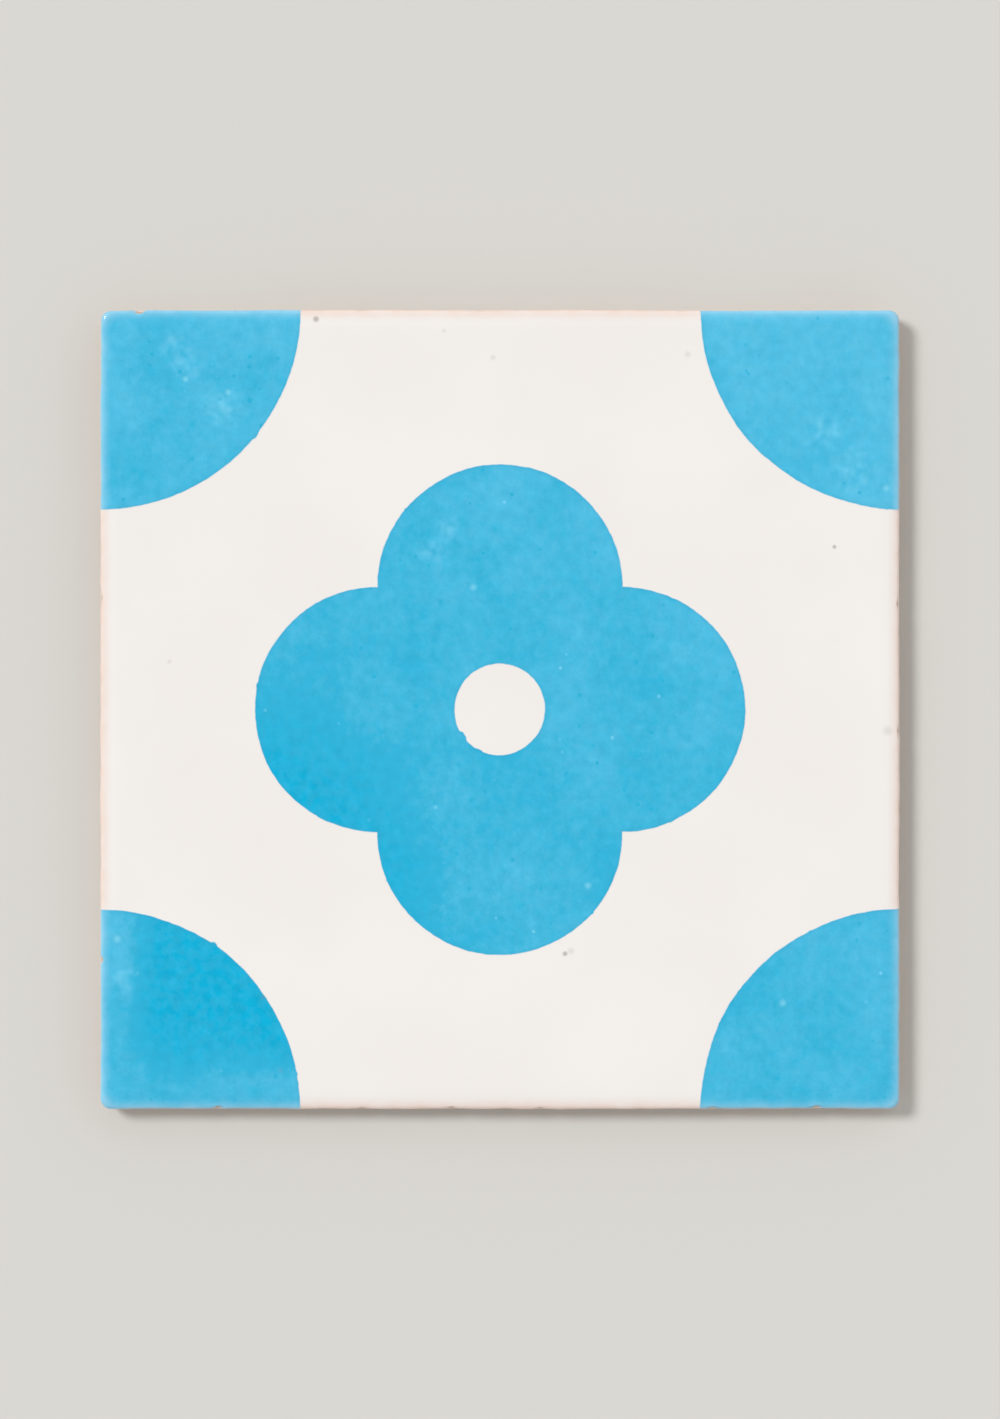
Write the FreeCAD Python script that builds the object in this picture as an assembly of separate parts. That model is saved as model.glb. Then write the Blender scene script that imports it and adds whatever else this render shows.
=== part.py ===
import FreeCAD, Part
import math
import os

# A square glazed wall tile of fired earthenware, dry pressed in a die as one piece.
# Millimetres. The origin is the middle of the bedding plane, which is the tops of the ribs on
# the back. +Z points out of the glazed face, and X and Y run along the sides.

# Plan and thickness
SIDE = 150.0
THICKNESS = 6.0
CORNER_RADIUS = 2.0

# Side wall, from the glazed edge down: a rolled edge, an upright land that faces the joint,
# a drafted skirt that let the pressing leave its die, and a broken arris round the back
ROLL_RADIUS = 1.0
LAND_HEIGHT = 2.2
SKIRT_DRAFT_DEG = 8.0
BACK_ARRIS = 0.4

# Glazed face: flat, and falling in a shallow arc to the rolled edge all round
CUSHION_WIDTH = 3.0
CUSHION_FALL = 0.25
FLAT_CORNER_RADIUS = 5.0
CUSHION_SECTIONS = 4

# Keyed back: a square grid of shallow pockets that the bedding mortar grips
KEYS_PER_SIDE = 6
KEY_RIM = 8.0
RIB_WIDTH = 3.0
KEY_DEPTH = 0.6
KEY_WALL_DRAFT_DEG = 35.0
KEY_CORNER_RADIUS = 1.6

# How far a punch stands out of the surface that it is pressed into
PUNCH_OVERRUN = 0.5

PARTS_FOLDER = "parts"

UP = FreeCAD.Vector(0, 0, 1)
CENTRE = FreeCAD.Vector(0, 0, 0)
SQUARE_CORNERS = 4
QUARTER_TURN_DEG = 90.0


def in_section(x, z):
    """A point of a border's section, which is drawn on the +X side of the tile."""
    return FreeCAD.Vector(x, 0, z)


def section_face(outline, reach):
    """The section between a corner's axis, at x = reach, and an outline that runs upwards."""
    low = outline[0].firstVertex().Point
    high = outline[-1].lastVertex().Point
    axis_low = in_section(reach, low.z)
    axis_high = in_section(reach, high.z)
    closing = [(high, axis_high), (axis_high, axis_low), (axis_low, low)]
    edges = outline + [Part.LineSegment(start, end).toShape() for start, end in closing]
    return Part.Face(Part.Wire(edges))


def rounded_block(outline, reach):
    """A block of square plan, whose border has one outline along its sides and round its
    corners. The corners turn about upright axes at x = y = reach."""
    section = section_face(outline, reach)
    bar = section.translated(FreeCAD.Vector(0, -reach, 0)).extrude(FreeCAD.Vector(0, 2 * reach, 0))
    corner_axis = FreeCAD.Vector(reach, reach, 0)
    turned = section.translated(FreeCAD.Vector(0, reach, 0))
    corner = turned.revolve(corner_axis, UP, QUARTER_TURN_DEG)
    bounds = section.BoundBox
    core_corner = FreeCAD.Vector(-reach, -reach, bounds.ZMin)
    core = Part.makeBox(2 * reach, 2 * reach, bounds.ZLength, core_corner)
    border = []
    for quarter in range(SQUARE_CORNERS):
        for piece in (bar, corner):
            border.append(piece.rotated(CENTRE, UP, QUARTER_TURN_DEG * quarter))
    return core.fuse(border).removeSplitter()


def straight_outline(points):
    """The edges of an outline that is made of straight runs."""
    return [Part.LineSegment(*pair).toShape() for pair in zip(points, points[1:])]


def rounded_square(side, radius, z):
    """A closed wire: a level square about the Z axis, with rounded corners."""
    half = side / 2
    reach = half - radius
    diagonal = reach + radius * math.sqrt(0.5)
    side_run = Part.LineSegment(
        FreeCAD.Vector(half, -reach, z),
        FreeCAD.Vector(half, reach, z),
    ).toShape()
    corner = Part.Arc(
        FreeCAD.Vector(half, reach, z),
        FreeCAD.Vector(diagonal, diagonal, z),
        FreeCAD.Vector(reach, half, z),
    ).toShape()
    edges = []
    for quarter in range(SQUARE_CORNERS):
        for edge in (side_run, corner):
            edges.append(edge.rotated(CENTRE, UP, QUARTER_TURN_DEG * quarter))
    return Part.Wire(edges)


def cushion_arc_radius():
    """The radius of the shallow arc on which the face falls to its edge."""
    return (CUSHION_WIDTH**2 + CUSHION_FALL**2) / (2 * CUSHION_FALL)


def edge_slope():
    """The slope, in radians, at which the cushion runs into the rolled edge."""
    return math.asin(CUSHION_WIDTH / cushion_arc_radius())


def roll_inset():
    """How far in from the land the rolled edge meets the cushion."""
    return ROLL_RADIUS * (1 - math.sin(edge_slope()))


def roll_top():
    """The height at which they meet, which is also where the cushion starts to rise."""
    return THICKNESS - CUSHION_FALL


def land_top():
    """The height at which the upright land gives way to the rolled edge."""
    return roll_top() - ROLL_RADIUS * math.cos(edge_slope())


def rolled_edge():
    """The quarter-round of the glazed edge, tangent to the land and to the cushion's slope."""
    centre_x = SIDE / 2 - ROLL_RADIUS
    centre_z = land_top()
    middle_angle = (math.pi / 2 - edge_slope()) / 2
    middle_x = centre_x + ROLL_RADIUS * math.cos(middle_angle)
    middle_z = centre_z + ROLL_RADIUS * math.sin(middle_angle)
    land_end = in_section(SIDE / 2, centre_z)
    cushion_end = in_section(SIDE / 2 - roll_inset(), roll_top())
    return Part.Arc(land_end, in_section(middle_x, middle_z), cushion_end).toShape()


def side_outline():
    """The side wall's outline from the back up: arris, skirt, land and rolled edge."""
    land_bottom = land_top() - LAND_HEIGHT
    skirt_run = (land_bottom - BACK_ARRIS) * math.tan(math.radians(SKIRT_DRAFT_DEG))
    skirt_foot = SIDE / 2 - skirt_run
    upright = straight_outline([
        in_section(skirt_foot - BACK_ARRIS, 0),
        in_section(skirt_foot, BACK_ARRIS),
        in_section(SIDE / 2, land_bottom),
        in_section(SIDE / 2, land_top()),
    ])
    return upright + [rolled_edge()]


def cushion():
    """The top of the face: its flat, and the shallow fall to the rolled edge all round.

    The fall's contours start with the corner radius that the rolled edge leaves, and their
    corners grow rounder up to the flat's."""
    arc_radius = cushion_arc_radius()
    outer_radius = CORNER_RADIUS - roll_inset()
    flat_side = SIDE - 2 * (roll_inset() + CUSHION_WIDTH)
    contours = []
    for step in range(CUSHION_SECTIONS + 1):
        angle = edge_slope() * (1 - step / CUSHION_SECTIONS)
        outset = arc_radius * math.sin(angle)
        fall = arc_radius * (1 - math.cos(angle))
        roundness = 1 - outset / CUSHION_WIDTH
        radius = outer_radius + (FLAT_CORNER_RADIUS - outer_radius) * roundness
        contours.append(rounded_square(flat_side + 2 * outset, radius, THICKNESS - fall))
    return Part.makeLoft(contours, True, False)


def blank():
    """The pressed tile before its back is keyed."""
    return rounded_block(side_outline(), SIDE / 2 - CORNER_RADIUS).fuse(cushion())


def key_pitch():
    """The distance between the middles of neighbouring pockets."""
    return (SIDE - 2 * KEY_RIM + RIB_WIDTH) / KEYS_PER_SIDE


def key_punch():
    """The punch that presses one pocket, about the Z axis: it narrows as it goes in."""
    half_mouth = (key_pitch() - RIB_WIDTH) / 2
    taper = math.tan(math.radians(KEY_WALL_DRAFT_DEG))
    wall = straight_outline([
        in_section(half_mouth + PUNCH_OVERRUN * taper, -PUNCH_OVERRUN),
        in_section(half_mouth - KEY_DEPTH * taper, KEY_DEPTH),
    ])
    return rounded_block(wall, half_mouth - KEY_CORNER_RADIUS)


def key_punches():
    """All the pockets' punches, in a square grid about the middle of the back."""
    pitch = key_pitch()
    first = -pitch * (KEYS_PER_SIDE - 1) / 2
    punch = key_punch()
    punches = []
    for row in range(KEYS_PER_SIDE):
        for column in range(KEYS_PER_SIDE):
            place = FreeCAD.Vector(first + pitch * column, first + pitch * row, 0)
            punches.append(punch.translated(place))
    return Part.makeCompound(punches)


def tile():
    """The whole tile, one fired piece."""
    return blank().cut(key_punches()).Solids[0]


def main():
    os.makedirs(PARTS_FOLDER, exist_ok=True)
    solid = tile()
    solid.exportStep(os.path.join(PARTS_FOLDER, "azulejo_tile.step"))
    box = solid.optimalBoundingBox()
    print(f"valid {solid.isValid()}, {len(solid.Faces)} faces, {solid.Volume / 1000:.2f} cm3")
    print(f"{box.XLength:.3f} x {box.YLength:.3f} x {box.ZLength:.3f} mm, foot at {box.ZMin:.3f}")


main()
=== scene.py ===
import math

import bpy
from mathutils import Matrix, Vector


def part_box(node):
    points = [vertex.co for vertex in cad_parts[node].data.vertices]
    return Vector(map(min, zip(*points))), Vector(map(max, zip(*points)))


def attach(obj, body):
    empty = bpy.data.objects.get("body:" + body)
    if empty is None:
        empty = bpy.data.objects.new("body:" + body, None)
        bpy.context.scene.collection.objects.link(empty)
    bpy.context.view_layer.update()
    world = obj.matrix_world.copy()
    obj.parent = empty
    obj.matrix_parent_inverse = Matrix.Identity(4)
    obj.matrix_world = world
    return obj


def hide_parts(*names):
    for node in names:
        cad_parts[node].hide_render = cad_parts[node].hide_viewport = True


bl_info = {
    "name": "Azulejo tile",
    "version": (1, 0, 0),
    "blender": (4, 5, 0),
    "location": "3D View > Sidebar > Azulejo",
    "description": "Presses, glazes and stencils one square wall tile of earthenware",
    "category": "Add Mesh",
}

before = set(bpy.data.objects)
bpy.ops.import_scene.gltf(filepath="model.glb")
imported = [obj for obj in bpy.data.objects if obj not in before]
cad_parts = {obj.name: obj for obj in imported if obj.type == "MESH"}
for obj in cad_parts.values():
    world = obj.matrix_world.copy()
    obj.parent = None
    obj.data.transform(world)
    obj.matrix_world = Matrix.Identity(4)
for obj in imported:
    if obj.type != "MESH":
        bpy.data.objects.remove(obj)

TILE_NODE = "azulejo_tile"
LOW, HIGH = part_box(TILE_NODE)
MM = 0.001
PER_METRE = 1000.0

# The photograph's frame, in pixels.
FRAME_WIDTH, FRAME_HEIGHT = 1000, 1419

# Small marks on this tile's face, in millimetres from its middle: x, y and radius.
DARK_SPECKS = ((-34.5, 73.2, 0.50), (62.7, 30.5, 0.34), (12.2, -45.8, 0.42))
FAINT_SPECKS = (
    (35.2, 66.6, 0.50), (-44.4, -54.0, 0.45), (-41.1, -67.7, 0.40), (-1.3, 66.0, 0.45),
    (13.3, -45.3, 0.55), (72.7, -4.0, 0.75), (-62.0, 9.0, 0.35), (-10.5, 71.0, 0.32),
)
PALE_SPECKS = (
    (53.0, -55.0, 0.55), (16.5, -33.0, 0.55), (-71.8, -43.0, 0.60), (-5.0, 22.9, 0.55),
    (72.4, 41.5, 0.55), (-59.0, 62.0, 0.45), (-51.0, 59.5, 0.45),
)
PALE_RUBS = (
    (-58.7, 64.8, 3.0), (-52.1, 57.1, 3.4), (-61.5, 68.5, 2.2), (-9.6, 33.6, 2.2),
    (-13.0, 29.5, 2.4), (66.5, 45.0, 3.6), (60.5, 52.0, 3.0), (-71.0, -50.0, 2.6),
)

# Places where the rolled edge is nicked, in millimetres: x, y and radius. All have their middle
# at one height. Shares of the radius say how far out a nick is at its deepest, and how deep.
EDGE_NICKS = (
    (-67.6, 75.0, 1.3), (-52.9, -75.0, 0.9), (-26.0, -75.0, 0.7), (-9.0, -75.0, 0.9),
    (7.4, -75.0, 0.8), (39.9, -75.0, 0.8), (59.4, -75.0, 1.0), (75.0, 19.8, 0.9),
    (75.0, -4.0, 0.8), (-75.0, 21.0, 0.7), (-75.0, -47.0, 0.8),
)
NICK_HEIGHT = 5.3
NICK_CORE = 0.35
NICK_DEPTH = 0.35

# How many steps the mesh takes over each run of the tile's section, from the middle outwards.
FACE_STEPS = 88
CUSHION_STEPS = 9
ROLL_STEPS = 9
LAND_STEPS = 11
SKIRT_STEPS = 6
ARRIS_STEPS = 2

# The same for the punch that presses a pocket.
PUNCH_FLOOR_STEPS = 3
PUNCH_FILLET_STEPS = 3
PUNCH_LIP_STEPS = 4

# How round the contours of the punch's floor are beside its edge, and its sharpest corner.
PUNCH_FLOOR_ROUNDNESS = 0.6
PUNCH_LEAST_CORNER = 0.25 * MM

# The slope, in radians, at which the lip meets the back, and how the punch goes on from there.
PUNCH_LIP_END = 0.06
PUNCH_FLARE = 0.02 * MM
PUNCH_OVERRUN = 0.5 * MM

# The share of a contour's points that bend round its corners.
TILE_CORNER_SHARE = 0.05
PUNCH_CORNER_SHARE = 0.5

# Points closer than this, in metres, are one. A face whose normal points down more than this is
# in a flat of the back. A tile with fewer faces than this has failed.
WELD = 1e-6
STRAIGHT_DOWN = -0.9999
FEWEST_FACES = 1000

# Heights above the glaze line, in millimetres, over which the coat starts, its bead swells and
# fades again, its waves start, its colour starts, and the body's colour fades out of it.
COAT_STARTS = (0.12, -0.12)
BEAD_SWELLS = (0.05, 0.3)
BEAD_FADES = (0.3, 0.9)
WAVES_START = (0.0, 0.5)
COLOUR_STARTS = (-0.04, 0.06)
FRINGE_FADES = (0.0, 0.7)

# Heights above the back, in millimetres, over which the relief sets in, the runs set in below
# the face, the glaze thins and the blue sets in.
RELIEF_STARTS = (0.4, 0.8)
RUNS_START = (5.6, 4.9)
THINNING_STARTS = (3.9, 4.9)
BLUE_STARTS = (4.5, 5.4)

# Millimetres in from the tile's outline over which the glaze thins, the blue pales on the crest
# with a painted highlight, and the blue thins.
GLAZE_THINS = (2.6, 0.1)
CREST_PALES = (2.35, 0.2)
BLUE_THINS = (12.0, 4.0)

# The share of a nick's depth over which its colour gives way to the body's.
NICK_BARES = (0.35, 0.75)

# Half the width, in millimetres, of the blue's soft outline, and the way from it to its rim.
BLUE_SOFTNESS = 0.13
RIM_DARKENS = (-0.7, -0.1)

# How thin the blue lies, from 0 for thick to 1: what it gains per millimetre to the right and
# up, what it is in the middle, what it is where it lies thickest and where that is, and what it
# is at least along the edges, where a little is added.
THIN_SLANT = (0.0004, 0.0006, 0.0)
THIN_MIDDLE = 0.605
THIN_LEAST = 0.24
THICK_PLACE = (-50.0, -35.0, 0.0)
THICK_REACH = (20.0, 44.0)
EDGE_LEAST = 0.6
EDGE_EXTRA = 0.03

# The roughness of the glaze and of the biscuit, and the index of refraction of both.
GLOSS = 0.16
MATT = 0.85
REFRACTION = 1.5

# The tile's UV map, in shares of its width: the gaps, the glazed face, the back, and a side
# wall's strip with its gap. The exporter bakes through a map of this name.
MAP_NAME = "OFBake"
MAP_MARGIN = 0.008
MAP_FACE = 0.74
MAP_BACK = 0.23
MAP_STRIP = 0.04

# Near the outline, a face of the mesh belongs to a side wall if its normal rises or falls by
# less than this, or if it lies within this share of the thickness above or below the middle.
LEVEL_NORMAL = 0.5
WALL_REACH = 0.3

# The floor, in metres, and its gap below the tile.
FLOOR_SIDE = 6.0
FLOOR_GAP = 0.02 * MM

# The lamp's apparent width, its strength and where it stands.
LAMP_ANGLE = math.radians(17)
LAMP_STRENGTH = 1.87
LAMP_AZIMUTH = math.radians(148)
LAMP_ELEVATION = math.radians(49)

# The studio's light: its strength from the side and from overhead, the side that fills the
# lamp's shadows, the light's share from the side opposite and from there, and how steeply a
# direction rises where the plain background gives way to it.
STUDIO_STRENGTHS = (1.07, 0.14)
FILL_SIDE = (0.93, 0.37, 0.0)
FILL_SHARES = (0.7, 1.3)
BACKGROUND_ENDS = (0.13, 0.32)


def linear(hex_colour):
    """A colour written as sRGB hex, such as "F3EEEA", in linear RGBA."""
    channels = [int(hex_colour[start:start + 2], 16) / 255 for start in (0, 2, 4)]
    return [c / 12.92 if c <= 0.04045 else ((c + 0.055) / 1.055) ** 2.4 for c in channels] + [1.0]


def distance(name, description, default):
    """A length property, in metres."""
    return bpy.props.FloatProperty(
        name=name, description=description, default=default,
        min=0.0, precision=5, subtype="DISTANCE", unit="LENGTH",
    )


def colour(name, description, default):
    """A colour property, whose default is written as sRGB hex."""
    return bpy.props.FloatVectorProperty(
        name=name, description=description, default=linear(default),
        size=4, min=0.0, max=1.0, subtype="COLOR",
    )


class AzulejoPressing(bpy.types.PropertyGroup):
    """Sizes of the pressed tile."""

    side: distance("Side", "Side of the tile", HIGH.x - LOW.x)
    thickness: distance("Thickness", "Bedding plane to face", HIGH.z - LOW.z)
    corner_radius: distance("Corner radius", "Radius of a corner in plan", 2.0 * MM)
    roll_radius: distance("Roll radius", "Radius of the glazed edge", 1.0 * MM)
    land_height: distance("Land height", "Height of the upright side", 2.2 * MM)
    skirt_draft: bpy.props.FloatProperty(
        name="Skirt draft", description="Lean of the side wall below the land",
        default=math.radians(8), subtype="ANGLE", unit="ROTATION",
    )
    back_arris: distance("Back arris", "Broken edge round the back", 0.4 * MM)
    cushion_width: distance("Cushion width", "Border on which the face falls", 3.0 * MM)
    cushion_fall: distance("Cushion fall", "How far it falls there", 0.25 * MM)
    flat_corner: distance("Flat's corner", "Corner radius of the flat of the face", 5.0 * MM)
    keys_per_side: bpy.props.IntProperty(
        name="Pockets per side", description="Mortar pockets along a side of the back",
        default=6, min=1, max=12,
    )
    key_rim: distance("Rim", "Plain rim round the pockets", 8.0 * MM)
    rib_width: distance("Rib width", "Width of a rib between pockets", 3.0 * MM)
    key_depth: distance("Pocket depth", "Depth of a pocket", 0.6 * MM)
    key_draft: bpy.props.FloatProperty(
        name="Pocket draft", description="Lean of a pocket's wall",
        default=math.radians(35), subtype="ANGLE", unit="ROTATION",
    )
    key_corner: distance("Pocket corner", "Corner radius of a pocket's mouth", 1.6 * MM)
    key_lip: distance("Pocket lip", "Radius of the soft lip of a pocket", 0.35 * MM)


class AzulejoGlazing(bpy.types.PropertyGroup):
    """The coat of glaze."""

    line_height: distance("Glaze line", "Mean height at which the glaze stops", 3.75 * MM)
    line_wander: distance("Line wander", "How far that line rises and falls", 1.6 * MM)
    coat: distance("Coat", "Thickness of the glaze over the body", 0.12 * MM)
    bead: distance("Bead", "Swelling of the glaze along its line", 0.05 * MM)
    swell: distance("Swell", "Height of the long waves in the glaze", 0.06 * MM)
    runs: distance("Runs", "Unevenness of the glaze on the side wall", 0.10 * MM)
    white: colour("White", "Opaque white glaze", "F4F0EC")
    cloudy: colour("Cloudy white", "Its duller clouds", "F0EBE7")
    thin: colour("Thin glaze", "Glaze where it thins over an edge", "E8CCBE")
    biscuit: colour("Biscuit", "Bare fired body", "D1BBA8")
    biscuit_dark: colour("Dark biscuit", "Darker patches of the body", "BFA189")
    speck: colour("Speck", "Iron specks burnt into the glaze", "7C6A62")


class AzulejoStencil(bpy.types.PropertyGroup):
    """The stencilled blue pattern."""

    leaf: distance("Leaf radius", "Radius of each of the four leaves", 23.0 * MM)
    eye: distance("Eye radius", "Radius of the white eye in the middle", 8.5 * MM)
    corner: distance("Corner radius", "Radius of the quarter discs in the corners", 37.5 * MM)
    deep: colour("Deep blue", "Blue where it lies thick", "02B0DA")
    middle: colour("Middle blue", "Blue over most of the pattern", "33B4DB")
    pale: colour("Pale blue", "Blue where it lies thin", "7CD6F6")
    # Pale blue on the crest of the rolled edge: partly the blue thinned there, partly a painted
    # highlight.
    crest_blue_and_highlight: colour("Edge blue", "Blue on the crest of the rolled edge", "A9D6EE")
    rim: colour("Rim blue", "Blue along its outline", "2E9CC6")
    pinhole: colour("Pinholes", "Pale glaze in the blue's pinholes", "92E2F8")


class AzulejoStage(bpy.types.PropertyGroup):
    """Floor, light and camera."""

    floor: colour("Floor", "Colour of the floor", "D6D4CF")
    background: colour("Background", "Colour beyond the floor", "DEDCD7")
    share: bpy.props.FloatProperty(
        name="Share of frame", description="Share of the picture's width that the tile takes",
        default=0.8, min=0.1, max=1.0, subtype="FACTOR",
    )
    lens: bpy.props.FloatProperty(
        name="Lens", description="Focal length in millimetres",
        default=100.0, min=10.0, unit="CAMERA",
    )


def add(tree, kind, inputs=(), **settings):
    """Adds a node, with its settings and with its inputs set or linked.

    The inputs are a list in the sockets' order or a dictionary by name or place. A value is a
    number or the like, an output socket, or a node whose first output is taken."""
    node = tree.nodes.new(kind)
    for name, setting in settings.items():
        setattr(node, name, setting)
    named = inputs.items() if isinstance(inputs, dict) else enumerate(inputs)
    for key, value in named:
        if isinstance(value, bpy.types.Node):
            value = value.outputs[0]
        if isinstance(value, bpy.types.NodeSocket):
            tree.links.new(value, node.inputs[key])
        else:
            node.inputs[key].default_value = value
    return node


def maths(tree, operation, *inputs, **settings):
    """Adds a node that reckons with numbers."""
    return add(tree, "ShaderNodeMath", inputs, operation=operation, **settings)


def vector_maths(tree, operation, *inputs):
    """Adds a node that reckons with vectors."""
    return add(tree, "ShaderNodeVectorMath", inputs, operation=operation)


def scaled(tree, vector, scale):
    """Adds a node that multiplies a vector by a number."""
    return add(tree, "ShaderNodeVectorMath", {0: vector, "Scale": scale}, operation="SCALE")


def remap(tree, value, given, wanted=(0.0, 1.0), soft=False):
    """Adds a node that turns one range of values into another and stops at its ends, softly
    where that is asked for. Each range is a pair, and either may run downwards."""
    kind = "SMOOTHSTEP" if soft else "LINEAR"
    return add(tree, "ShaderNodeMapRange", [value, *given, *wanted], interpolation_type=kind)


def between(tree, share, first, second):
    """Adds a node that goes from a first number to a second as the share goes from 0 to 1."""
    return add(tree, "ShaderNodeMix", {0: share, 2: first, 3: second})


def blend(tree, share, first, second):
    """The colour that goes from a first to a second as the share goes from 0 to 1."""
    mix = add(tree, "ShaderNodeMix", {0: share, 6: first, 7: second}, data_type="RGBA")
    return mix.outputs[2]


def sampled(tree, geometry, value, index, kind="FLOAT"):
    """Adds a node that takes a value at the geometry's point of that number."""
    inputs = {"Geometry": geometry, "Value": value, "Index": index}
    return add(tree, "GeometryNodeSampleIndex", inputs, data_type=kind)


def split(tree, vector):
    """The outputs X, Y and Z of a vector."""
    return add(tree, "ShaderNodeSeparateXYZ", [vector]).outputs


def sockets(tree, direction, rows):
    """Gives a node tree its named inputs or outputs, from rows of name and kind."""
    for name, kind in rows:
        tree.interface.new_socket(name, in_out=direction, socket_type="NodeSocket" + kind)


def outline_curve(name, points):
    """A curve through points of out, corner radius and height, from the middle outwards."""
    curve = bpy.data.curves.new(name, "CURVE")
    curve.dimensions = "3D"
    spline = curve.splines.new("POLY")
    spline.points.add(len(points) - 1)
    for point, (out, corner_radius, height) in zip(spline.points, points):
        point.co = (out, 0.0, height, 1.0)
        point.radius = corner_radius * PER_METRE
    section = bpy.data.objects.new(name, curve)
    bpy.context.scene.collection.objects.link(section)
    return section


def steps(start, end, count):
    """The points after start on the way to end, in even steps."""
    return [start + (end - start) * (step + 1) / count for step in range(count)]


def tile_outline(sizes):
    """The tile's section from the middle of its face, over the rolled edge, to the back."""
    half = sizes.side / 2
    top = sizes.thickness
    width, fall, roll = sizes.cushion_width, sizes.cushion_fall, sizes.roll_radius
    reach = half - sizes.corner_radius
    arc_radius = (width**2 + fall**2) / (2 * fall)
    slope = math.asin(width / arc_radius)
    roll_start = half - roll * (1 - math.sin(slope))
    flat = roll_start - width
    land_top = top - fall - roll * math.cos(slope)
    land_bottom = land_top - sizes.land_height
    skirt_run = (land_bottom - sizes.back_arris) * math.tan(sizes.skirt_draft)
    foot = half - skirt_run

    points = [(0.0, 0.0, top)]
    for out in steps(0.0, flat, FACE_STEPS):
        points.append((out, sizes.flat_corner * out / flat, top))
    for angle in steps(0.0, slope, CUSHION_STEPS):
        out = flat + arc_radius * math.sin(angle)
        share = (out - flat) / width
        radius = sizes.flat_corner + (roll_start - reach - sizes.flat_corner) * share
        points.append((out, radius, top - arc_radius * (1 - math.cos(angle))))
    for angle in steps(slope, math.pi / 2, ROLL_STEPS):
        out = half - roll + roll * math.sin(angle)
        points.append((out, out - reach, land_top + roll * math.cos(angle)))
    for height in steps(land_top, land_bottom, LAND_STEPS):
        points.append((half, half - reach, height))
    for share in steps(0.0, 1.0, SKIRT_STEPS):
        out = half - skirt_run * share
        height = land_bottom + (sizes.back_arris - land_bottom) * share
        points.append((out, out - reach, height))
    for share in steps(0.0, 1.0, ARRIS_STEPS):
        out = foot - sizes.back_arris * share
        points.append((out, out - reach, sizes.back_arris * (1 - share)))
    return points


def key_pitch(sizes):
    """The distance between the middles of neighbouring pockets."""
    return (sizes.side - 2 * sizes.key_rim + sizes.rib_width) / sizes.keys_per_side


def punch_outline(sizes):
    """The section of the punch that presses one pocket, from its floor down past the lip."""
    mouth = (key_pitch(sizes) - sizes.rib_width) / 2
    depth, lip = sizes.key_depth, sizes.key_lip
    reach = mouth - sizes.key_corner
    lean = math.tan(sizes.key_draft)
    # The fillet at the floor and the lip at the mouth are arcs that the drafted wall touches
    turn = math.pi / 2 - sizes.key_draft
    tangent = lip * math.tan(turn / 2)
    floor_edge = mouth - depth * lean
    points = [(0.0, 0.0, depth)]
    for out in steps(0.0, floor_edge - tangent, PUNCH_FLOOR_STEPS):
        points.append((out, max(0.0, out - reach) * PUNCH_FLOOR_ROUNDNESS, depth))
    for angle in steps(0.0, turn, PUNCH_FILLET_STEPS):
        out = floor_edge - tangent + lip * math.sin(angle)
        height = depth - lip * (1 - math.cos(angle))
        points.append((out, max(PUNCH_LEAST_CORNER, out - reach), height))
    for angle in steps(turn, PUNCH_LIP_END, PUNCH_LIP_STEPS):
        out = mouth + tangent - lip * math.sin(angle)
        height = lip * (1 - math.cos(angle))
        points.append((out, max(PUNCH_LEAST_CORNER, out - reach), height))
    last = points[-1][0]
    points.append((last + PUNCH_FLARE, last - reach, -PUNCH_OVERRUN))
    return points


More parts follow.
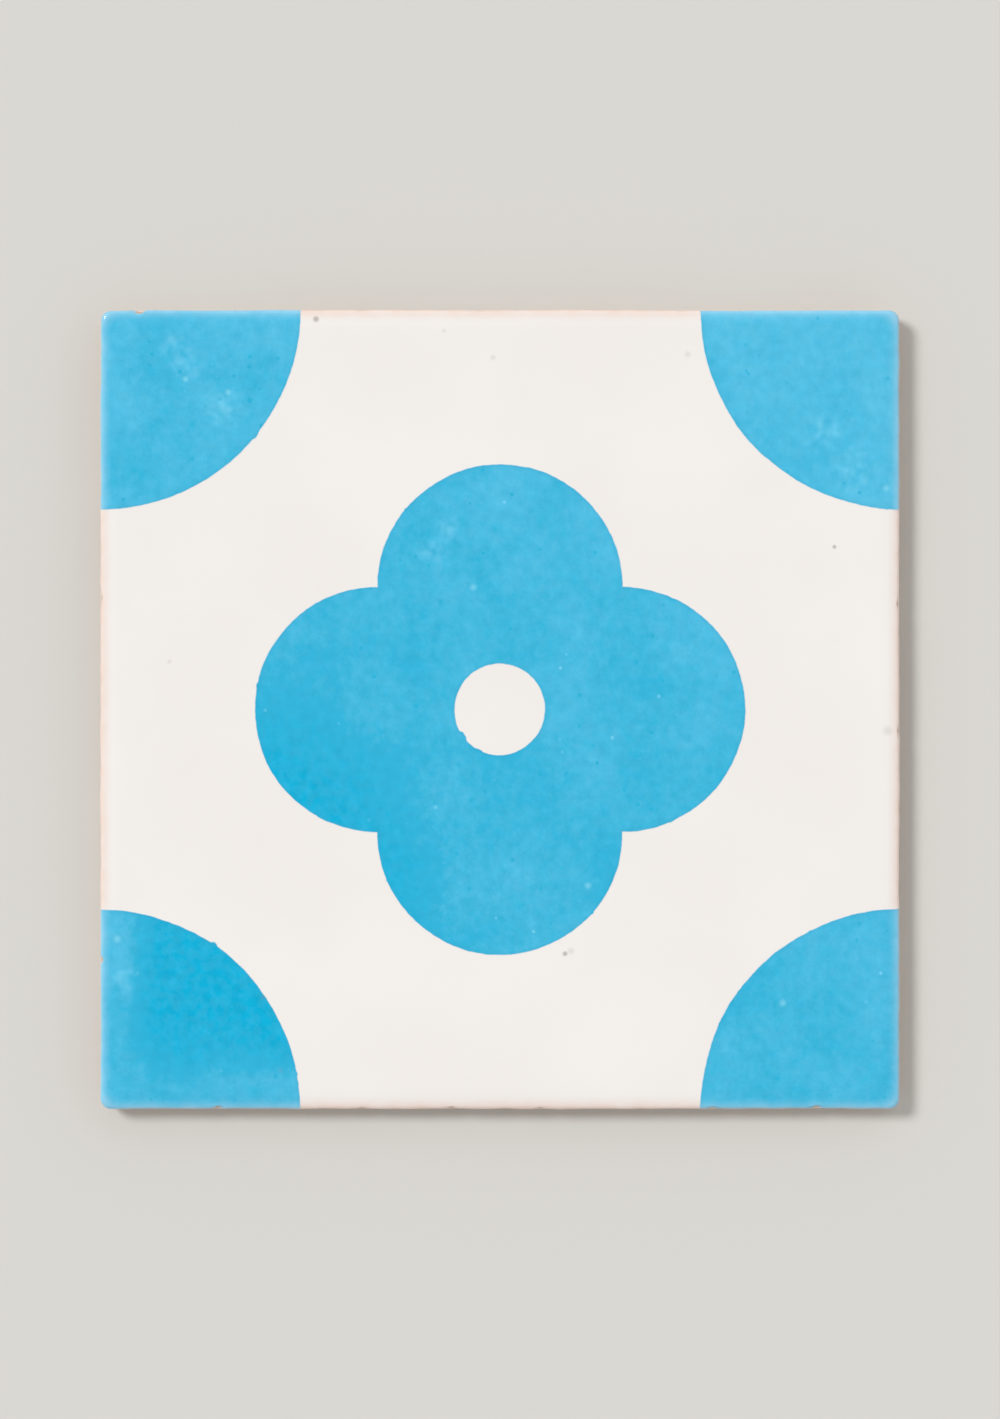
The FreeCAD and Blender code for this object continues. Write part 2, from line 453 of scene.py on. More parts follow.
def block_group():
    """A node group: a block of square plan, with one section along its sides and corners.

    A grid's square rings become contours. Each takes its size, its height and its corner
    radius from the section's point of the same number, counted from the middle."""
    tree = bpy.data.node_groups.new("Block from a section", "GeometryNodeTree")
    sockets(tree, "INPUT", [("Section", "Object"), ("Corner share", "Float")])
    sockets(tree, "OUTPUT", [("Block", "Geometry")])
    given = add(tree, "NodeGroupInput")
    section = add(tree, "GeometryNodeObjectInfo", {"Object": given.outputs["Section"]})
    outline = section.outputs["Geometry"]
    size = add(tree, "GeometryNodeAttributeDomainSize", [outline], component="CURVE")
    count = size.outputs["Point Count"]
    across = maths(tree, "MULTIPLY_ADD", count, 2.0, -2.0)
    lines = maths(tree, "MULTIPLY_ADD", count, 2.0, -1.0)
    grid = add(tree, "GeometryNodeMeshGrid", [across, across, lines, lines])

    # Which ring a point is on, and how far along that ring's side, from 0 to 1 at the corner
    place = add(tree, "GeometryNodeInputPosition")
    plain = vector_maths(tree, "ABSOLUTE", place)
    parts = split(tree, plain)
    ring = maths(tree, "MAXIMUM", parts["X"], parts["Y"])
    less = maths(tree, "MINIMUM", parts["X"], parts["Y"])
    along = maths(tree, "DIVIDE", less, ring)
    number = maths(tree, "ROUND", ring)

    # The section's point of that number
    position = add(tree, "GeometryNodeInputPosition")
    radius = add(tree, "GeometryNodeInputRadius")
    spot = sampled(tree, outline, position, number, "FLOAT_VECTOR")
    bend = sampled(tree, outline, radius, number)
    corner = maths(tree, "MULTIPLY", bend, MM)
    spot_parts = split(tree, spot)
    reach = maths(tree, "SUBTRACT", spot_parts["X"], corner)

    # The straight run up to the corner's axis, and then an eighth of a turn about it
    bend_start = maths(tree, "SUBTRACT", 1.0, given.outputs["Corner share"])
    run = remap(tree, along, (0.0, bend_start), (0.0, reach))
    turn = remap(tree, along, (bend_start, 1.0), (0.0, math.pi / 4))
    cosine = maths(tree, "COSINE", turn)
    sine = maths(tree, "SINE", turn)
    outward = maths(tree, "MULTIPLY_ADD", corner, cosine, reach)
    sideways = maths(tree, "MULTIPLY_ADD", corner, sine, run)

    # Back to the side of the square that the point came from
    on_x = maths(tree, "GREATER_THAN", parts["X"], parts["Y"])
    new_x = between(tree, on_x, sideways, outward)
    new_y = between(tree, on_x, outward, sideways)
    flat = add(tree, "ShaderNodeCombineXYZ", [new_x, new_y])
    signs = vector_maths(tree, "SIGN", place)
    height = add(tree, "ShaderNodeCombineXYZ", {"Z": spot_parts["Z"]})
    moved = vector_maths(tree, "MULTIPLY_ADD", flat, signs, height)
    sheet = add(tree, "GeometryNodeSetPosition", {"Geometry": grid, "Position": moved})

    # One flat face closes the last contour
    sides = add(tree, "GeometryNodeInputMeshEdgeNeighbors")
    rim = add(tree, "FunctionNodeCompare", {2: sides, 3: 1}, data_type="INT", operation="EQUAL")
    loop = add(tree, "GeometryNodeMeshToCurve", [sheet, rim])
    cover = add(tree, "GeometryNodeFillCurve", [loop], mode="NGONS")
    last = maths(tree, "ADD", count, -1.0)
    low = sampled(tree, outline, position, last, "FLOAT_VECTOR")
    drop = add(tree, "ShaderNodeCombineXYZ", {"Z": split(tree, low)["Z"]})
    lowered = add(tree, "GeometryNodeSetPosition", {"Geometry": cover, "Offset": drop})
    turned = add(tree, "GeometryNodeFlipFaces", [lowered])
    joined = add(tree, "GeometryNodeJoinGeometry")
    tree.links.new(turned.outputs[0], joined.inputs[0])
    tree.links.new(sheet.outputs[0], joined.inputs[0])
    closed = add(tree, "GeometryNodeMergeByDistance", {"Geometry": joined, "Distance": WELD})
    add(tree, "NodeGroupOutput", [closed])
    return tree


def facing_of(face, sizes):
    """The direction that a face of the tile's mesh belongs to: up, down or one of four sides."""
    x, y, z = face.center
    height = z / sizes.thickness
    inside = max(abs(x), abs(y)) < sizes.side / 2 - sizes.corner_radius
    on_an_edge = abs(face.normal.z) > LEVEL_NORMAL and abs(height - 0.5) > WALL_REACH
    if inside or on_an_edge:
        return (0, 0, 1) if height > 0.5 else (0, 0, -1)
    if abs(x) > abs(y):
        return (1, 0, 0) if x > 0 else (-1, 0, 0)
    return (0, 1, 0) if y > 0 else (0, -1, 0)


def lay_out_map(mesh, sizes):
    """Gives the tile a UV map without overlaps: the glazed face over most of it, the four side
    walls in strips above, and the plain back small beside it."""
    layer = mesh.uv_layers.new(name=MAP_NAME)
    middle = MAP_MARGIN + MAP_FACE / 2
    spots = {
        (0, 0, 1): (middle, middle, MAP_FACE),
        (0, 0, -1): (1 - MAP_MARGIN - MAP_BACK / 2, MAP_MARGIN + MAP_BACK / 2, MAP_BACK),
    }
    for row, facing in enumerate(((1, 0, 0), (0, 1, 0), (-1, 0, 0), (0, -1, 0))):
        spots[facing] = (middle, 2 * MAP_MARGIN + MAP_FACE + row * MAP_STRIP, MAP_FACE)
    for face in mesh.polygons:
        facing = facing_of(face, sizes)
        u, v, width = spots[facing]
        up = Vector((0, 1, 0)) if facing[2] else Vector((0, 0, 1))
        across = up.cross(facing)
        for corner in face.loop_indices:
            place = mesh.vertices[mesh.loops[corner].vertex_index].co * (width / sizes.side)
            layer.uv[corner].vector = (u + place.dot(across), v + place.dot(up))


def noise_about_zero(tree, place, grain, amount, detail=0.0, seed=0.0):
    """Smooth noise whose lumps are grain millimetres across, from about -amount to +amount.

    The noise that this comes from keeps to about 0.25 to 0.75."""
    noise = add(
        tree, "ShaderNodeTexNoise",
        {"Vector": place, "W": seed, "Scale": 1.0 / grain, "Detail": detail},
        noise_dimensions="4D",
    )
    return add(
        tree, "ShaderNodeMapRange", [noise.outputs[0], 0.25, 0.75, -amount, amount], clamp=False
    )


def glaze_line(tree, place, mean, wander):
    """The height, in millimetres, at which the glaze stops on the side wall."""
    long_waves = noise_about_zero(tree, place, 16.0, 0.45, seed=3.0)
    short_waves = noise_about_zero(tree, place, 3.5, 0.22, detail=2.0, seed=5.0)
    waves = maths(tree, "ADD", long_waves, short_waves)
    return maths(tree, "MULTIPLY_ADD", waves, wander, mean)


def tile_group(block):
    """The node tree of the whole tile: the pressed block, its pockets and its glaze."""
    tree = bpy.data.node_groups.new("Pressed and glazed tile", "GeometryNodeTree")
    sockets(tree, "INPUT", [
        ("Geometry", "Geometry"), ("Tile section", "Object"), ("Punch section", "Object"),
        ("Nicks", "Object"), ("Pockets per side", "Int"), ("Pocket pitch", "Float"),
        ("Glaze line", "Float"), ("Line wander", "Float"), ("Coat", "Float"), ("Bead", "Float"),
        ("Swell", "Float"), ("Runs", "Float"), ("Bare below", "Float"),
        ("Glaze", "Material"), ("Biscuit", "Material"),
    ])
    sockets(tree, "OUTPUT", [("Tile", "Geometry")])
    given = add(tree, "NodeGroupInput").outputs

    # The pressed body, with the pockets punched into its back
    body = add(tree, "GeometryNodeGroup", node_tree=block)
    tree.links.new(given["Tile section"], body.inputs["Section"])
    body.inputs["Corner share"].default_value = TILE_CORNER_SHARE
    punch = add(tree, "GeometryNodeGroup", node_tree=block)
    tree.links.new(given["Punch section"], punch.inputs["Section"])
    punch.inputs["Corner share"].default_value = PUNCH_CORNER_SHARE
    gaps = maths(tree, "ADD", given["Pockets per side"], -1.0)
    spread = maths(tree, "MULTIPLY", gaps, given["Pocket pitch"])
    count = given["Pockets per side"]
    places = add(tree, "GeometryNodeMeshGrid", [spread, spread, count, count])
    punches = add(tree, "GeometryNodeInstanceOnPoints", {"Points": places, "Instance": punch})
    solid_punches = add(tree, "GeometryNodeRealizeInstances", [punches])
    keyed = add(
        tree, "GeometryNodeMeshBoolean", {"Mesh 1": body, "Mesh 2": solid_punches},
        operation="DIFFERENCE", solver="MANIFOLD",
    )

    # Millimetre coordinates of the points, for the patterns
    position = add(tree, "GeometryNodeInputPosition")
    place = scaled(tree, position, PER_METRE)
    height = split(tree, place)["Z"]

    # The glaze stops at a wandering line, where it swells a little. Above that line the surface
    # is the glaze's, and below it the body's, which lies deeper by the thickness of the coat
    line = glaze_line(tree, place, given["Glaze line"], given["Line wander"])
    above = maths(tree, "SUBTRACT", height, line)
    bare = remap(tree, above, COAT_STARTS, (0.0, -1.0))
    coat = maths(tree, "MULTIPLY", bare, given["Coat"])
    rise = remap(tree, above, BEAD_SWELLS, soft=True)
    fade = remap(tree, above, BEAD_FADES, (1.0, 0.0), soft=True)
    bead_shape = maths(tree, "MULTIPLY", rise, fade)
    bead = maths(tree, "MULTIPLY_ADD", bead_shape, given["Bead"], coat)
    glazed = remap(tree, above, WAVES_START)
    long_swell = noise_about_zero(tree, place, 19.0, 0.5, seed=11.0)
    short_swell = noise_about_zero(tree, place, 5.0, 0.12, detail=1.0, seed=12.0)
    swell = maths(tree, "ADD", long_swell, short_swell)
    warp = noise_about_zero(tree, place, 42.0, 1.1, seed=13.0)
    swell_here = maths(tree, "MULTIPLY_ADD", swell, glazed, warp)
    waved = maths(tree, "MULTIPLY_ADD", swell_here, given["Swell"], bead)

    # Glaze that ran over the edge stands uneven on the side wall
    runs = noise_about_zero(tree, place, 4.5, 1.0, detail=2.0, seed=14.0)
    on_side = remap(tree, height, RUNS_START)
    side_runs = maths(tree, "MULTIPLY", runs, on_side)
    glazed_runs = maths(tree, "MULTIPLY", side_runs, glazed)
    relief = maths(tree, "MULTIPLY_ADD", glazed_runs, given["Runs"], waved)

    # Nicks in the rolled edge, each about a point that holds its radius
    nicks = add(tree, "GeometryNodeObjectInfo", {"Object": given["Nicks"]}).outputs["Geometry"]
    nearest = add(tree, "GeometryNodeSampleNearest", [nicks], domain="POINT")
    own_place = add(tree, "GeometryNodeInputPosition")
    position_there = sampled(tree, nicks, own_place, nearest, "FLOAT_VECTOR")
    size = add(tree, "GeometryNodeInputNamedAttribute", {"Name": "size"}, data_type="FLOAT")
    size_there = sampled(tree, nicks, size, nearest)
    away = vector_maths(tree, "DISTANCE", position, position_there)
    rough = noise_about_zero(tree, place, 0.8, 0.25, detail=2.0, seed=21.0)
    share = maths(tree, "DIVIDE", away.outputs["Value"], size_there)
    ragged = maths(tree, "ADD", share, rough)
    bite = remap(tree, ragged, (NICK_CORE, 1.0), (1.0, 0.0), soft=True)
    depth = maths(tree, "MULTIPLY", size_there, -NICK_DEPTH)
    bitten = maths(tree, "MULTIPLY_ADD", bite, depth, relief)

    # Nothing moves on the back or the arris
    side = remap(tree, height, RELIEF_STARTS)
    shift = maths(tree, "MULTIPLY", bitten, side)
    normal = add(tree, "GeometryNodeInputNormal")
    offset = scaled(tree, normal, shift)
    marked = add(
        tree, "GeometryNodeStoreNamedAttribute",
        {"Geometry": keyed, "Name": "nick", "Value": bite}, data_type="FLOAT", domain="POINT",
    )
    shaped = add(tree, "GeometryNodeSetPosition", {"Geometry": marked, "Offset": offset})

    # The flat of the back is shaded flat, and everything else smooth
    facing = split(tree, add(tree, "GeometryNodeInputNormal"))["Z"]
    smooth = maths(tree, "GREATER_THAN", facing, STRAIGHT_DOWN)
    shaded = add(tree, "GeometryNodeSetShadeSmooth", {"Geometry": shaped, "Shade Smooth": smooth})
    whole = add(tree, "GeometryNodeRealizeInstances", [shaded])
    glazing = add(tree, "GeometryNodeSetMaterial", {"Geometry": whole, "Material": given["Glaze"]})
    low = maths(tree, "LESS_THAN", height, given["Bare below"])
    bared = add(
        tree, "GeometryNodeSetMaterial",
        {"Geometry": glazing, "Selection": low, "Material": given["Biscuit"]},
    )
    add(tree, "NodeGroupOutput", [bared])
    return tree


def nick_points():
    """An object whose points are the nicks, each with its radius in metres."""
    mesh = bpy.data.meshes.new("edge_nicks")
    mesh.from_pydata([(x * MM, y * MM, NICK_HEIGHT * MM) for x, y, _ in EDGE_NICKS], [], [])
    sizes = mesh.attributes.new("size", "FLOAT", "POINT")
    sizes.data.foreach_set("value", [radius * MM for _, _, radius in EDGE_NICKS])
    points = bpy.data.objects.new("edge_nicks", mesh)
    bpy.context.scene.collection.objects.link(points)
    return points


def speck_mask(tree, flat_place, marks, soft):
    """1 inside any of the marks, and 0 outside. The marks are rows of x, y and radius."""
    nearest = None
    for x, y, radius in marks:
        away = vector_maths(tree, "DISTANCE", flat_place, (x, y, 0.0))
        share = maths(tree, "DIVIDE", away.outputs["Value"], radius)
        if nearest is not None:
            share = maths(tree, "MINIMUM", share, nearest)
        nearest = share
    return remap(tree, nearest, (1.0 - soft, 1.0 + soft), (1.0, 0.0), soft=True)


def stencil_distance(tree, flat_place, stencil, side):
    """Millimetres from the outline of the blue, below 0 inside it.

    The pattern is four round leaves about a white eye, with a quarter disc in each corner."""
    leaf, eye, corner = (size * PER_METRE for size in (stencil.leaf, stencil.eye, stencil.corner))
    half = side * PER_METRE / 2
    plain = vector_maths(tree, "ABSOLUTE", flat_place)
    parts = split(tree, plain)
    more = maths(tree, "MAXIMUM", parts["X"], parts["Y"])
    less = maths(tree, "MINIMUM", parts["X"], parts["Y"])
    folded = add(tree, "ShaderNodeCombineXYZ", [more, less])
    distances = []
    for centre, radius in (((leaf, 0, 0), leaf), ((half, half, 0), corner), ((0, 0, 0), eye)):
        away = vector_maths(tree, "DISTANCE", folded, centre)
        distances.append(maths(tree, "SUBTRACT", away.outputs["Value"], radius))
    outside_eye = maths(tree, "MULTIPLY", distances[2], -1.0)
    leaves = maths(tree, "MAXIMUM", distances[0], outside_eye)
    exact = maths(tree, "MINIMUM", leaves, distances[1])

    # The outline wanders a little, bleeds, and runs out in a lump here and there
    cut = noise_about_zero(tree, flat_place, 12.0, 0.13, seed=31.0)
    bleed = noise_about_zero(tree, flat_place, 1.3, 0.06, detail=1.0, seed=32.0)
    lump = add(
        tree, "ShaderNodeTexNoise",
        {"Vector": flat_place, "W": 33.0, "Scale": 1 / 2.6, "Detail": 0.0}, noise_dimensions="4D",
    )
    lumps = remap(tree, lump.outputs[0], (0.74, 0.86), (0.0, -0.4))
    wobble = maths(tree, "ADD", cut, bleed)
    wobble = maths(tree, "ADD", wobble, lumps)
    return maths(tree, "ADD", exact, wobble)


def edge_inset(tree, flat_place, side, reach):
    """Millimetres in from the tile's outline, up to reach, with round corners."""
    start = side * PER_METRE / 2 - reach
    plain = vector_maths(tree, "ABSOLUTE", flat_place)
    past = vector_maths(tree, "SUBTRACT", plain, (start, start, 0.0))
    corner = vector_maths(tree, "MAXIMUM", past, (0.0, 0.0, 0.0))
    outset = vector_maths(tree, "LENGTH", corner).outputs["Value"]
    return maths(tree, "SUBTRACT", reach, outset)


def blue_thinness(tree, flat_place, side):
    """How thin the blue lies, from about 0.2 to 0.7.

    It lies thick towards the lower left, and thin along the tile's edges and, a little, towards
    the upper right."""
    slant = vector_maths(tree, "DOT_PRODUCT", flat_place, THIN_SLANT)
    even = maths(tree, "ADD", slant.outputs["Value"], THIN_MIDDLE)
    centre = vector_maths(tree, "DISTANCE", flat_place, THICK_PLACE)
    away = remap(tree, centre.outputs["Value"], THICK_REACH, soft=True)
    inner = between(tree, away, THIN_LEAST, even)
    at_least = maths(tree, "MAXIMUM", even, EDGE_LEAST)
    outer = maths(tree, "ADD", at_least, EDGE_EXTRA)
    inset = edge_inset(tree, flat_place, side, BLUE_THINS[0])
    band = remap(tree, inset, BLUE_THINS, soft=True)
    return between(tree, band, inner, outer)


def blue_colour(tree, flat_place, stencil, side):
    """The fired blue: deep and clotted where it lies thick, paler and more even elsewhere."""
    thin = blue_thinness(tree, flat_place, side)
    deep = remap(tree, thin, (0.2, 0.6), (1.0, 0.0))
    clouds = noise_about_zero(tree, flat_place, 12.0, 0.06, detail=2.0, seed=41.0)
    mottle = noise_about_zero(tree, flat_place, 1.8, 0.05, detail=3.0, seed=42.0)
    grain = noise_about_zero(tree, flat_place, 0.6, 0.02, detail=1.0, seed=43.0)
    uneven = maths(tree, "ADD", clouds, mottle)
    uneven = maths(tree, "ADD", uneven, grain)
    gain = maths(tree, "MULTIPLY_ADD", deep, 2.0, 1.0)
    tone = maths(tree, "MULTIPLY_ADD", uneven, gain, thin)

    # Soft clots one to two millimetres across, only where the blue lies thick
    clots = noise_about_zero(tree, flat_place, 1.8, 0.5, detail=2.0, seed=45.0)
    clot = remap(tree, clots, (-0.1, 0.25), (0.0, -0.26), soft=True)
    tone = maths(tree, "MULTIPLY_ADD", clot, deep, tone)

    # Soft pale rubs, broken into flecks
    rubs = speck_mask(tree, flat_place, PALE_RUBS, 0.7)
    flecks = noise_about_zero(tree, flat_place, 2.2, 0.5, detail=1.5, seed=46.0)
    fleck = remap(tree, flecks, (-0.2, 0.4), (0.0, 0.2))
    tone = maths(tree, "MULTIPLY_ADD", rubs, fleck, tone)

    # Dots of pigment that didn't melt in, and pinholes in the blue
    cells = {"Vector": flat_place, "Scale": 1 / 2.6, "Randomness": 1.0}
    dots = add(tree, "ShaderNodeTexVoronoi", cells)
    dot = remap(tree, dots.outputs["Distance"], (0.10, 0.17), (1.0, 0.0))
    which = split(tree, dots.outputs["Color"])
    dark = remap(tree, which["X"], (0.55, 0.9), (0.0, -0.16))
    light = remap(tree, which["Y"], (0.86, 1.0), (0.0, 0.3))
    both = maths(tree, "ADD", dark, light)
    tone = maths(tree, "MULTIPLY_ADD", dot, both, tone)

    # From tone to colour, with lighter and darker patches
    ramp = add(tree, "ShaderNodeValToRGB", [tone])
    stops = ramp.color_ramp.elements
    stops[0].position, stops[0].color = 0.0, stencil.deep
    stops[1].position, stops[1].color = 1.0, stencil.pale
    stops.new(0.55).color = stencil.middle
    shade = noise_about_zero(tree, flat_place, 2.2, 0.055, detail=3.0, seed=44.0)
    shade_gain = maths(tree, "MULTIPLY_ADD", deep, 1.0, 1.0)
    value = maths(tree, "MULTIPLY_ADD", shade, shade_gain, 1.0)
    return add(tree, "ShaderNodeHueSaturation", {"Value": value, "Color": ramp.outputs["Color"]})


def biscuit_colour(tree, place, glazing):
    """The bare body: pinkish buff, a little patchy, with fine darker and paler grit."""
    patches = noise_about_zero(tree, place, 7.0, 0.35, detail=3.0, seed=51.0)
    grit = noise_about_zero(tree, place, 0.5, 0.22, detail=2.0, seed=52.0)
    tone = maths(tree, "ADD", patches, grit)
    tone = maths(tree, "ADD", tone, 0.35, use_clamp=True)
    return blend(tree, tone, glazing.biscuit, glazing.biscuit_dark)


def biscuit_grit(tree, place):
    """The relief of the bare body, in millimetres."""
    return noise_about_zero(tree, place, 0.35, 0.03, detail=3.0, seed=72.0)


def start_material(name):
    """A new material, its emptied node tree, and places on the piece in millimetres."""
    material = bpy.data.materials.new(name)
    material.use_nodes = True
    tree = material.node_tree
    tree.nodes.clear()
    coordinates = add(tree, "ShaderNodeTexCoord").outputs["Object"]
    return material, tree, scaled(tree, coordinates, PER_METRE)


def end_material(tree, colour, roughness, relief):
    """The shader of a fired surface, from its colour, roughness and relief in millimetres."""
    bump = add(tree, "ShaderNodeBump", {"Strength": 1.0, "Distance": MM, "Height": relief})
    looks = {"Base Color": colour, "Roughness": roughness, "Normal": bump, "IOR": REFRACTION}
    shader = add(tree, "ShaderNodeBsdfPrincipled", looks)
    add(tree, "ShaderNodeOutputMaterial", [shader])


def glaze_material(stencil, glazing, side):
    """Opaque tin glaze over earthenware, with a stencilled blue fired into it.

    Glossy and almost smooth. White is a little warm, and goes pinkish where the glaze is thin
    over the edge and the body shows through. Blue is mottled, because it was dabbed on."""
    material, tree, place = start_material("tin_glaze_with_fired_blue")
    flat_place = vector_maths(tree, "MULTIPLY", place, (1.0, 1.0, 0.0))
    height = split(tree, place)["Z"]

    # White glaze, a little uneven, and pinkish where it thins over the edge
    inset = edge_inset(tree, flat_place, side, 4.0)
    clouds = noise_about_zero(tree, place, 30.0, 0.5, detail=2.0, seed=61.0)
    cloud = maths(tree, "ADD", clouds, 0.5, use_clamp=True)
    white = blend(tree, cloud, glazing.white, glazing.cloudy)
    thin = remap(tree, inset, GLAZE_THINS)
    thinner = maths(tree, "POWER", thin, 1.7)
    patch = noise_about_zero(tree, place, 3.0, 0.25, detail=2.0, seed=62.0)
    patchy = maths(tree, "ADD", patch, 0.8, use_clamp=True)
    crest_only = remap(tree, height, THINNING_STARTS, (0.4, 1.0))
    thinnest = maths(tree, "MULTIPLY", thinner, crest_only)
    thinning = maths(tree, "MULTIPLY", thinnest, patchy)
    face = blend(tree, thinning, white, glazing.thin)

    # Blue, with its rim a little darker, fading out down the rolled edge
    apart = stencil_distance(tree, flat_place, stencil, side)
    inside = remap(tree, apart, (BLUE_SOFTNESS, -BLUE_SOFTNESS), soft=True)
    kept = remap(tree, height, BLUE_STARTS)
    painted = maths(tree, "MULTIPLY", inside, kept)
    blue = blue_colour(tree, flat_place, stencil, side)
    rim = remap(tree, apart, RIM_DARKENS, (0.0, 0.22))
    rimmed = blend(tree, rim, blue, stencil.rim)
    # On the crest of the rolled edge the blue pales: partly thinner blue, partly a painted
    # highlight along the edge.
    near_edge = remap(tree, inset, CREST_PALES, (0.0, 0.8))
    crest = maths(tree, "POWER", near_edge, 1.8)
    crest_thinning_and_highlight = maths(tree, "MULTIPLY", crest, patchy)
    crested = blend(tree, crest_thinning_and_highlight, rimmed, stencil.crest_blue_and_highlight)
    colours = blend(tree, painted, face, crested)

    # Specks: burnt iron, and pinholes that show the pale glaze under the blue
    dark = speck_mask(tree, flat_place, DARK_SPECKS, 0.6)
    faint = speck_mask(tree, flat_place, FAINT_SPECKS, 0.8)
    faint_share = maths(tree, "MULTIPLY", faint, 0.16)
    dark_share = maths(tree, "MULTIPLY_ADD", dark, 0.5, faint_share)
    spotted = blend(tree, dark_share, colours, glazing.speck)
    pale = speck_mask(tree, flat_place, PALE_SPECKS, 0.7)
    pale_in_blue = maths(tree, "MULTIPLY", pale, painted)
    pale_share = maths(tree, "MULTIPLY", pale_in_blue, 0.42)
    pricked = blend(tree, pale_share, spotted, stencil.pinhole)

    # The glaze line on the side wall, below which the body is bare
    body = biscuit_colour(tree, place, glazing)
    mean, wander = glazing.line_height * PER_METRE, glazing.line_wander * PER_METRE
    line = glaze_line(tree, place, mean, wander)
    above = maths(tree, "SUBTRACT", height, line)
    covered = remap(tree, above, COLOUR_STARTS)
    fringe = remap(tree, above, FRINGE_FADES, (0.45, 0.0))
    tinted = blend(tree, fringe, pricked, glazing.biscuit)
    nick = add(tree, "ShaderNodeAttribute", attribute_name="nick").outputs["Fac"]
    chipped = remap(tree, nick, NICK_BARES, (1.0, 0.0))
    whole = maths(tree, "MULTIPLY", covered, chipped)
    final = blend(tree, whole, body, tinted)

    # Orange peel a hundredth of a millimetre high, a step at the blue, and grit where bare
    peel = noise_about_zero(tree, place, 1.9, 0.006, detail=1.0, seed=71.0)
    step = maths(tree, "MULTIPLY_ADD", inside, 0.015, peel)
    pits = maths(tree, "MULTIPLY_ADD", pale, -0.05, step)
    relief = between(tree, whole, biscuit_grit(tree, place), pits)
    sheen = noise_about_zero(tree, place, 12.0, 0.03, detail=2.0, seed=73.0)
    gloss = maths(tree, "ADD", sheen, GLOSS)
    end_material(tree, final, between(tree, whole, MATT, gloss), relief)
    return material


def biscuit_material(glazing):
    """Bare earthenware biscuit, dry pressed from clay dust and fired: matt, with fine grit."""
    material, tree, place = start_material("pressed_earthenware_biscuit")
    end_material(tree, biscuit_colour(tree, place, glazing), MATT, biscuit_grit(tree, place))
    return material


class AZULEJO_OT_press_tile(bpy.types.Operator):
    """Makes the tile: pressed, keyed, glazed and stencilled"""

    bl_idname = "azulejo.press_tile"
    bl_label = "Press and glaze the tile"

    def execute(self, context):
        scene = context.scene
        sizes = scene.azulejo_pressing
        glazing, stencil = scene.azulejo_glazing, scene.azulejo_stencil
        tile = bpy.data.objects.new("glazed_tile", bpy.data.meshes.new("glazed_tile"))
        scene.collection.objects.link(tile)
        helpers = [
            outline_curve("tile_section", tile_outline(sizes)),
            outline_curve("punch_section", punch_outline(sizes)),
            nick_points(),
        ]
        tree = tile_group(block_group())
        modifier = tile.modifiers.new("Tile", "NODES")
        modifier.node_group = tree
        land_top = sizes.thickness - sizes.cushion_fall - sizes.roll_radius
        values = {
            "Tile section": helpers[0],
            "Punch section": helpers[1],
            "Nicks": helpers[2],
            "Pockets per side": sizes.keys_per_side,
            "Pocket pitch": key_pitch(sizes),
            "Glaze line": glazing.line_height * PER_METRE,
            "Line wander": glazing.line_wander * PER_METRE,
            "Coat": glazing.coat,
            "Bead": glazing.bead,
            "Swell": glazing.swell,
            "Runs": glazing.runs,
            "Bare below": (land_top - sizes.land_height) * PER_METRE,
            "Glaze": glaze_material(stencil, glazing, sizes.side),
            "Biscuit": biscuit_material(glazing),
        }
        for item in tree.interface.items_tree:
            if item.in_out == "INPUT" and item.name in values:
                modifier[item.identifier] = values[item.name]
        context.view_layer.update()
        depsgraph = context.evaluated_depsgraph_get()
        mesh = bpy.data.meshes.new_from_object(
            tile.evaluated_get(depsgraph), preserve_all_data_layers=True, depsgraph=depsgraph
        )
        if len(mesh.polygons) < FEWEST_FACES:
            raise RuntimeError("the tile's node tree made no block")
        tile.modifiers.remove(modifier)
        tile.data = mesh
        mesh.name = "glazed_tile"
        lay_out_map(mesh, sizes)
        context.view_layer.objects.active = tile
        tile.select_set(True)
        bpy.ops.object.material_slot_remove_unused()
        for helper in helpers:
            bpy.data.objects.remove(helper)
        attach(tile, "root")
        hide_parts(TILE_NODE)
        return {"FINISHED"}


class AZULEJO_OT_set_stage(bpy.types.Operator):
    """Lays the floor, and sets the light and the camera"""

    bl_idname = "azulejo.set_stage"
    bl_label = "Set the stage"

    def execute(self, context):
        scene = context.scene
        stage = scene.azulejo_stage
        bpy.ops.mesh.primitive_plane_add(size=FLOOR_SIDE, location=(0.0, 0.0, -FLOOR_GAP))
        floor = context.object
        floor.name = "floor"
        floor.data.materials.append(floor_material(stage))
        set_world(scene, stage)
        set_key_light(scene)
        set_camera(scene, stage)
        scene.view_settings.view_transform = "Standard"
        return {"FINISHED"}


def floor_material(stage):
    """Matt painted board, plain and pale."""
    material = bpy.data.materials.new("matt_painted_board")
    material.use_nodes = True
    shader = material.node_tree.nodes["Principled BSDF"]
    shader.inputs["Base Color"].default_value = stage.floor
    shader.inputs["Roughness"].default_value = 0.9
    shader.inputs["Specular IOR Level"].default_value = 0.2
    return material


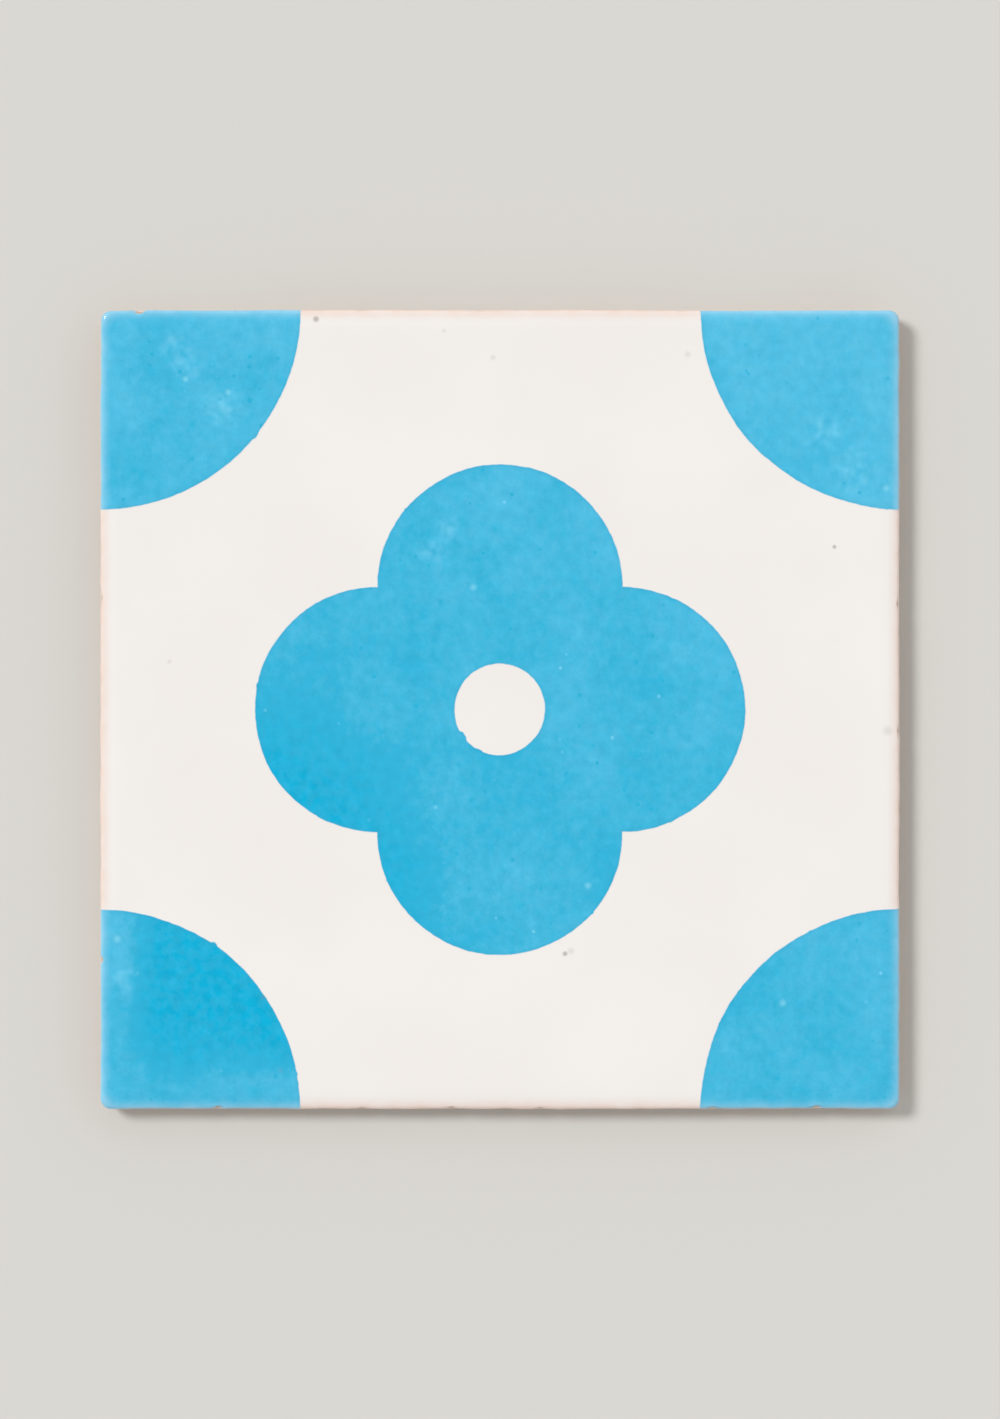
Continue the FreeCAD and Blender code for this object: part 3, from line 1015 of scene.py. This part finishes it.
def set_world(scene, stage):
    """A plain pale background, and above it soft studio light from all round.

    The light is dimmer overhead, where the camera stands, and brighter on the right, where it
    fills the key lamp's shadows."""
    world = bpy.data.worlds.new("studio")
    scene.world = world
    world.use_nodes = True
    tree = world.node_tree
    tree.nodes.clear()
    direction = add(tree, "ShaderNodeTexCoord").outputs["Generated"]
    up = split(tree, direction)["Z"]
    steep = maths(tree, "POWER", up, 2.0)
    strength = remap(tree, steep, (0.0, 1.0), STUDIO_STRENGTHS)
    towards = vector_maths(tree, "DOT_PRODUCT", direction, FILL_SIDE)
    fill = remap(tree, towards.outputs["Value"], (-1.0, 1.0), FILL_SHARES)
    level = maths(tree, "MULTIPLY", strength, fill)
    light = add(tree, "ShaderNodeBackground", [(1.0, 1.0, 1.0, 1.0), level])
    plain = add(tree, "ShaderNodeBackground", [stage.background, 1.0])
    lit = remap(tree, up, BACKGROUND_ENDS, soft=True)
    add(tree, "ShaderNodeOutputWorld", [add(tree, "ShaderNodeMixShader", [lit, plain, light])])


def set_key_light(scene):
    """One broad lamp, low on the upper left, which throws the short shadow to the lower right."""
    lamp = bpy.data.lights.new("key_lamp", "SUN")
    lamp.angle = LAMP_ANGLE
    lamp.energy = LAMP_STRENGTH
    key = bpy.data.objects.new("key_lamp", lamp)
    scene.collection.objects.link(key)
    level = math.cos(LAMP_ELEVATION)
    source = Vector((
        level * math.cos(LAMP_AZIMUTH), level * math.sin(LAMP_AZIMUTH), math.sin(LAMP_ELEVATION)
    ))
    key.rotation_euler = (-source).to_track_quat("-Z", "Y").to_euler()


def set_camera(scene, stage):
    """A camera straight above the tile, whose sides run along the picture's."""
    data = bpy.data.cameras.new("camera")
    data.lens = stage.lens
    camera = bpy.data.objects.new("camera", data)
    scene.collection.objects.link(camera)
    seen_height = (HIGH.x - LOW.x) / stage.share * FRAME_HEIGHT / FRAME_WIDTH
    camera.location = (0.0, 0.0, HIGH.z + seen_height * data.lens / data.sensor_width)
    scene.camera = camera


class AZULEJO_PT_panel(bpy.types.Panel):
    """Sizes, colours and steps of the tile"""

    bl_label = "Azulejo tile"
    bl_idname = "AZULEJO_PT_panel"
    bl_space_type = "VIEW_3D"
    bl_region_type = "UI"
    bl_category = "Azulejo"

    def draw(self, context):
        scene, layout = context.scene, self.layout
        for title, group in (
            ("Pressing", scene.azulejo_pressing), ("Glazing", scene.azulejo_glazing),
            ("Stencil", scene.azulejo_stencil), ("Stage", scene.azulejo_stage),
        ):
            box = layout.box()
            box.label(text=title)
            for name in group.__annotations__:
                box.prop(group, name)
        layout.operator(AZULEJO_OT_press_tile.bl_idname)
        layout.operator(AZULEJO_OT_set_stage.bl_idname)


CLASSES = (
    AzulejoPressing, AzulejoGlazing, AzulejoStencil, AzulejoStage,
    AZULEJO_OT_press_tile, AZULEJO_OT_set_stage, AZULEJO_PT_panel,
)
GROUPS = {
    "azulejo_pressing": AzulejoPressing, "azulejo_glazing": AzulejoGlazing,
    "azulejo_stencil": AzulejoStencil, "azulejo_stage": AzulejoStage,
}


def register():
    for each in CLASSES:
        bpy.utils.register_class(each)
    for name, group in GROUPS.items():
        setattr(bpy.types.Scene, name, bpy.props.PointerProperty(type=group))


def unregister():
    for name in GROUPS:
        delattr(bpy.types.Scene, name)
    for each in reversed(CLASSES):
        bpy.utils.unregister_class(each)


def main():
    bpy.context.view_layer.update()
    register()
    bpy.ops.azulejo.press_tile()
    bpy.ops.azulejo.set_stage()


if __name__ == "__main__":
    main()
